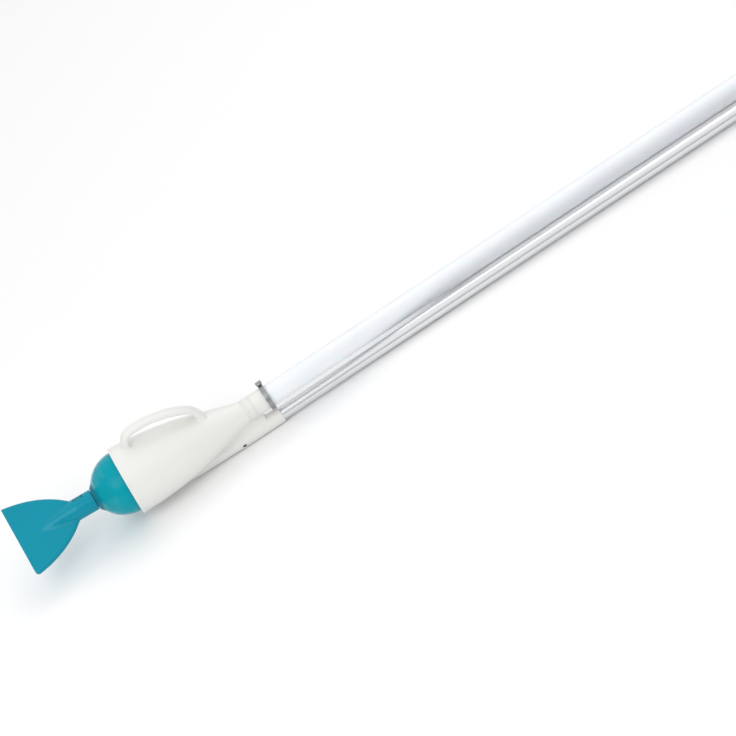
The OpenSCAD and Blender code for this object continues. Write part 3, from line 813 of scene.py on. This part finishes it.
class BuildShell(bpy.types.Operator):
    """Models the bell-shaped body with its handle and pole socket as one blended shell"""
    bl_idname = "vacuum.shell"
    bl_label = "Body shell"

    smooth_angle = 62
    front_swell, front_share = 0.5, 0.2      # of the handle, and over which share of it
    rear_swell, rear_share = 0.45, 0.22
    flat_side, flat_face = 0.36, 0.5         # how square its section is
    nose_rise, nose_round = 5, 50
    button_drop = math.radians(20.6)
    button_hole_r = 4.05
    throat_r = 16.7
    ledge_r, ledge_front, ledge_back = 59.0, -21, -24

    def execute(self, context):
        s = context.scene.vacuum_sizes
        bell = turned([(0, 2), (s.rim_radius, 2)] + skin_line(s)
                      + [(s.tail_radius, -s.body_length - 8), (0, -s.body_length - 8)],
                      head_point(0, 0, 0), HEAD_AXIS, HEAD_UP, 128)
        shell = joined(bell, self.handle(s), self.socket(s), self.web())
        modify(shell, "REMESH", mode="VOXEL", voxel_size=s.fillet * MM)
        modify(shell, "SMOOTH", factor=0.5, iterations=s.smoothing)
        self.hollow(shell, s)
        finish_piece(shell, "shell", "head", "white_body", "body_shell", angle=self.smooth_angle)
        return {"FINISHED"}

    def handle(self, s):
        """A strap with rounded edges that swells where it joins the body."""
        line = through([(-p * s.body_length, skin_radius(s, p * s.body_length) + h)
                        for p, h in HANDLE_LINE], 5)
        rings = []
        last = len(line) - 1
        for i, (along, up) in enumerate(line):
            a0, u0 = line[max(i - 1, 0)]
            a1, u1 = line[min(i + 1, last)]
            d = math.hypot(a1 - a0, u1 - u0)
            normal = (-(u1 - u0) / d, (a1 - a0) / d)
            t = i / last
            swell = (1 + self.front_swell * (1 - ramp(t / self.front_share))
                     + self.rear_swell * (1 - ramp((1 - t) / self.rear_share)))
            half_w = s.handle_width / 2 * (0.94 + 0.06 * swell)
            half_t = s.handle_thickness / 2 * (1 + 0.8 * (swell - 1))
            ring = []
            for k in range(40):
                a = 2 * math.pi * k / 40
                x, y = math.cos(a), math.sin(a)
                side = math.copysign(abs(x) ** self.flat_side, x) * half_w
                out = math.copysign(abs(y) ** self.flat_face, y) * half_t
                ring.append(head_point(up + normal[1] * out, side, along + normal[0] * out))
            rings.append(ring)
        return lofted(rings)

    def socket(self, s):
        """The pole's socket: a blunt nose that grows out of the body, then a straight sleeve."""
        nose_x = 0.276 * s.body_length
        bend_x = TAIL_X - 39
        run = math.hypot(bend_x - nose_x, self.nose_rise)
        r = POLE_Z - 0.4
        outline = [(0, 0)]
        for i in range(1, 13):
            t = (i / 12) ** 1.5
            outline.append((r * math.sqrt(1 - (1 - t) ** 2), self.nose_round * t))
        nose = turned(outline + [(r, run), (0, run)],
                      rim_point(nose_x, 0, POLE_Z + self.nose_rise),
                      Vector((bend_x - nose_x, 0, -self.nose_rise)), SIDE, 48)
        sleeve = turned([(0, 0), (POLE_Z, 0), (POLE_Z, 105), (0, 105)],
                        rim_point(bend_x - 7, 0, POLE_Z), ROW, SIDE, 64)
        return joined(nose, sleeve)

    def web(self):
        """Fills the corner between the tail and the socket, and runs on under the cuff."""
        def squared(value, power):
            return math.copysign(abs(value) ** power, value)

        rings = []
        for x, top, half in ((140, 66, 12.5), (190, 64, 11.5), (225, 58, 10.5),
                             (TAIL_X - 4, 50, 10), (TAIL_X + 26, 48.5, 10)):
            middle, high = (top + POLE_Z) / 2, (top - POLE_Z) / 2
            rings.append([rim_point(x, half * squared(math.cos(a), 0.7),
                                    middle + high * squared(math.sin(a), 0.8))
                          for a in (2 * math.pi * k / 24 for k in range(24))])
        return lofted(rings)

    def hollow(self, shell, s):
        """Cuts the ends square, and opens the body, the pole's bore and the button's hole."""
        cut(shell, turned([(0, 0), (90, 0), (90, 30), (0, 30)], head_point(0, 0, 0), HEAD_AXIS,
                          HEAD_UP, 48))
        cut(shell, box((TAIL_X, -60, WEB_TOP), (TAIL_X + 60, 60, 200)))
        cut(shell, turned([(0, 0), (CUFF_R, 0), (CUFF_R, 60), (0, 60)],
                          rim_point(TAIL_X, 0, SPIGOT_Z), ROW, UP, 96))
        cut(shell, box((TAIL_X + SOCKET_LEN, -60, -20), (TAIL_X + 80, 60, 200)))
        cut(shell, box((60, -60, -20), (TAIL_X + 80, 60, 0)))
        inner = s.rim_radius - s.wall
        wall = [(r - s.wall, a) for r, a in skin_line(s)
                if -s.body_length + 16 < a < self.ledge_back]
        cut(shell, turned([(0, 4), (inner, 4), (inner, self.ledge_front),
                           (self.ledge_r, self.ledge_front), (self.ledge_r, self.ledge_back),
                           (wall[0][0], self.ledge_back)] + wall
                          + [(self.throat_r, -s.body_length + 14),
                             (self.throat_r, -s.body_length - 12), (0, -s.body_length - 12)],
                          head_point(0, 0, 0), HEAD_AXIS, HEAD_UP, 128))
        cut(shell, turned([(0, 0), (POLE_BORE_R, 0), (POLE_BORE_R, 200), (0, 200)],
                          rim_point(TAIL_X - 78, 0, POLE_Z), ROW, UP, 64))
        out = Vector((0, -math.cos(self.button_drop), -math.sin(self.button_drop)))
        cut(shell, turned([(0, 9), (self.button_hole_r, 9), (self.button_hole_r, 20), (0, 20)],
                          rim_point(TAIL_X - BUTTON_X, 0, POLE_Z), out, ROW, 32))


class BuildTrim(bpy.types.Operator):
    """Turns the lips that finish the rim, the socket's mouth and the tail"""
    bl_idname = "vacuum.trim"
    bl_label = "Lips"

    def execute(self, context):
        s = context.scene.vacuum_sizes
        r = s.rim_radius
        lip = turned([(r - 2.4, -5), (r + 0.1, -5.2), (r + 0.55, -4.7), (r + 0.6, -0.7),
                      (r + 0.1, -0.05), (r - 0.6, 0.25), (r - 1.9, 0.25), (r - 2.45, -0.2),
                      (r - 2.4, -5)],
                     head_point(0, 0, 0), HEAD_AXIS, HEAD_UP, 160)
        finish_piece(lip, "rim_lip", "head", "white_body")
        mouth = turned([(POLE_BORE_R, 0), (POLE_BORE_R, 4.3), (13.1, 4.8), (15.2, 4.8),
                        (15.75, 4.3), (15.78, 0.4), (15.4, 0)],
                       rim_point(TAIL_X + 49.4, 0, POLE_Z), ROW, UP, 96)
        finish_piece(mouth, "socket_lip", "head", "white_body")
        seam = turned([(19.0, 0), (21.2, 0), (22.35, 0.5), (22.4, 1.6), (21.9, 2.2), (19, 2.2)],
                      rim_point(TAIL_X - 0.2, 0, SPIGOT_Z), ROW, UP, 96)
        finish_piece(seam, "tail_ring", "head", "white_body")
        return {"FINISHED"}


class BuildClamp(bpy.types.Operator):
    """Turns the hose clamp's band and cuts the screw's slots along it"""
    bl_idname = "vacuum.clamp"
    bl_label = "Hose clamp"

    slot_count = 44
    slot_lean = math.radians(12)
    slot_long, slot_wide, slot_deep = 5.2, 1.3, 0.9
    band_r, band_middle = 26.0, 4.5

    def execute(self, context):
        centre = rim_point(CUFF_END_X, 0, SPIGOT_Z)
        outline = [(25.2, 0.9), (25.2, 8.1), (22.1, 8.1), (21.7, 8.5), (21.7, 8.9), (25.5, 9.0),
                   (25.95, 8.7), (26.0, 8.1), (26.0, 0.9), (25.95, 0.3), (25.5, 0.0),
                   (21.7, 0.1), (21.7, 0.5), (22.1, 0.9), (25.2, 0.9)]
        band = turned(outline, centre, ROW, SIDE, 144)
        slots = []
        for i in range(self.slot_count):
            a = 2 * math.pi * i / self.slot_count
            out = Vector((0, math.cos(a), math.sin(a)))
            begin()
            bpy.ops.mesh.primitive_cube_add(size=1)
            slot = bpy.context.object
            along = ROW * math.cos(self.slot_lean) + ROW.cross(out) * math.sin(self.slot_lean)
            for v in slot.data.vertices:
                v.co = centre + (ROW * self.band_middle + along * v.co.x * self.slot_long
                                 + along.cross(out) * v.co.y * self.slot_wide
                                 + out * (self.band_r + v.co.z * self.slot_deep)) * MM
            slot.data.update()
            slots.append(slot)
        tool = joined(*slots)
        tidy(tool, dist=1e-8)
        cut(band, tool)
        finish_piece(band, "clamp_strap", "head", "steel", "clamp_band")
        return {"FINISHED"}


class BuildNozzle(bpy.types.Operator):
    """Models the hollow fan nozzle with its round neck, ridge and slot mouth"""
    bl_idname = "vacuum.nozzle"
    bl_label = "Nozzle"

    neck_z = 66.367
    shoulder_z = 107.467
    neck_r = 20.5
    bore_r = 17.05
    wall = 2
    ridge_len = 76           # how far the neck's round runs out along the fan
    corner_r = 8             # of the mouth's one rounded corner
    blend = 6.0              # between the ridge and the fan
    around = 112             # points in each ring
    window_low, window_high = (15.0, -4.5, 82.47), (24.0, 4.5, 102.47)

    def section(self, s, z, inset):
        """One closed ring of the fan at a place ahead of the shoulder."""
        t = max(z, 0) / s.fan_length
        side = bezier(((0, self.neck_r), (0.253, 0.675 * s.mouth_half),
                       (0.59, 0.912 * s.mouth_half), (1, s.mouth_half)), 60)
        half = s.mouth_half
        for (t0, w0), (t1, w1) in zip(side, side[1:]):
            if t0 <= t <= t1:
                half = w0 + (w1 - w0) * (t - t0) / (t1 - t0)
                break
        thick = s.fan_thickness / 2
        ridge = thick + (self.neck_r - thick) * max(0.0, 1 - max(z, 0) / self.ridge_len) ** 1.2
        near = half
        left = s.fan_length - z
        if left < self.corner_r:
            near = half - self.corner_r + math.sqrt(
                max(self.corner_r ** 2 - (self.corner_r - left) ** 2, 0))
        low, high = -near + inset * 1.25, half - inset * 1.25
        thick -= inset
        ridge = max(ridge - inset, thick)
        mid, span = (low + high) / 2, (high - low) / 2
        edge = min(thick, span)
        ring = []
        for k in range(self.around):
            a = 2 * math.pi * (k + 0.5) / self.around
            w = span * math.cos(a)
            from_edge = span - abs(w)
            slab = thick
            if from_edge < edge:
                slab = thick * math.sqrt(max(1 - (1 - from_edge / edge) ** 2, 0))
            at = mid + w
            bulge = math.sqrt(max(ridge ** 2 - at ** 2, 0)) if abs(at) < ridge else 0.0
            m = max(slab, bulge)
            near_by = max(self.blend - abs(slab - bulge), 0) / self.blend
            fade = min(1, t * 6, from_edge / 12, (ridge - thick) / 5)
            m += near_by * near_by * self.blend * 0.25 * fade
            ring.append((math.copysign(m, math.sin(a)), at))
        return ring

    def execute(self, context):
        s = context.scene.vacuum_sizes
        rings = []

        def circle(z, r):
            rings.append([nozzle_point(r * math.sin(a), r * math.cos(a), z)
                          for a in (2 * math.pi * (k + 0.5) / self.around
                                    for k in range(self.around))])

        def fan(z, inset):
            rings.append([nozzle_point(up, side, self.shoulder_z + z)
                          for up, side in self.section(s, z, inset)])

        circle(self.neck_z, self.bore_r + 0.5)
        circle(self.neck_z, self.neck_r - 0.6)
        circle(self.neck_z + 0.6, self.neck_r)
        for z in (2, 12, 24, 34):
            circle(self.neck_z + z, self.neck_r)
        length = s.fan_length
        outside = ([0, 2, 4, 6, 9, 12] + [15 + 4.2 * i for i in range(22)]
                   + [length - self.corner_r + x for x in (0.2, 1.8, 3.2, 4.6, 5.8, 6.8, 7.4)])
        for z in outside:
            fan(z, 0)
        fan(length - 0.15, 0.45)
        fan(length - 0.15, 1.6)
        for z in reversed([z for z in outside if 8 < z < length - 1]):
            fan(z, self.wall)
        circle(self.shoulder_z + 2, self.bore_r)
        circle(self.neck_z + 20, self.bore_r)
        circle(self.neck_z + 0.5, self.bore_r)
        nozzle = lofted(rings, closed_along=True)
        cut(nozzle, self.window())
        finish_piece(nozzle, "nozzle_fan", "nozzle_assembly", "teal", "nozzle", angle=32)
        return {"FINISHED"}

    def window(self):
        """The cut in the neck's top for the latch, with rounded corners."""
        begin()
        bpy.ops.mesh.primitive_cube_add(size=1)
        obj = bpy.context.object
        for v in obj.data.vertices:
            corner = (high if c > 0 else low
                      for c, low, high in zip(v.co, self.window_low, self.window_high))
            v.co = nozzle_point(*corner, LATCH_TURN)
        obj.data.update()
        tidy(obj)
        modify(obj, "BEVEL", width=1.2 * MM, segments=3)
        return obj


class DressParts(bpy.types.Operator):
    """Gives the carried-over CAD parts their finishes"""
    bl_idname = "vacuum.parts"
    bl_label = "Finishes"

    def execute(self, context):
        slots = {p["node"]: p["material_slot"] for p in frame["record"]["subparts"]}
        for name, slot in slots.items():
            if not NODES[name].hide_render:
                give_material(NODES[name], slot)
        return {"FINISHED"}


class VacuumPanel(bpy.types.Panel):
    """Lists the pieces of the vacuum head"""
    bl_idname = "VIEW3D_PT_vacuum"
    bl_label = "Vacuum head"
    bl_space_type = "VIEW_3D"
    bl_region_type = "UI"
    bl_category = "Vacuum head"

    def draw(self, context):
        for step in STEPS:
            self.layout.operator(step.bl_idname)
        for settings in ("vacuum_sizes", "vacuum_hose", "vacuum_colours", "vacuum_stage"):
            column = self.layout.box()
            group = getattr(context.scene, settings)
            for key in group.bl_rna.properties.keys():
                if key not in ("rna_type", "name"):
                    column.prop(group, key)


STEPS = (BuildStage, BuildHose, BuildShell, BuildTrim, BuildClamp, BuildNozzle, DressParts)
SETTINGS = (("vacuum_sizes", VacuumSizes), ("vacuum_hose", HoseSizes),
            ("vacuum_colours", VacuumColours), ("vacuum_stage", StageSettings))


def register():
    for name, group in SETTINGS:
        bpy.utils.register_class(group)
        setattr(bpy.types.Scene, name, PointerProperty(type=group))
    for c in (*STEPS, VacuumPanel):
        bpy.utils.register_class(c)


def unregister():
    for c in (VacuumPanel, *reversed(STEPS)):
        bpy.utils.unregister_class(c)
    for name, group in reversed(SETTINGS):
        delattr(bpy.types.Scene, name)
        bpy.utils.unregister_class(group)


def main():
    """Builds everything in order."""
    register()
    make_materials(bpy.context.scene.vacuum_colours)
    for step in STEPS:
        space, name = step.bl_idname.split(".")
        getattr(getattr(bpy.ops, space), name)()
    begin()


if __name__ == "__main__":
    main()
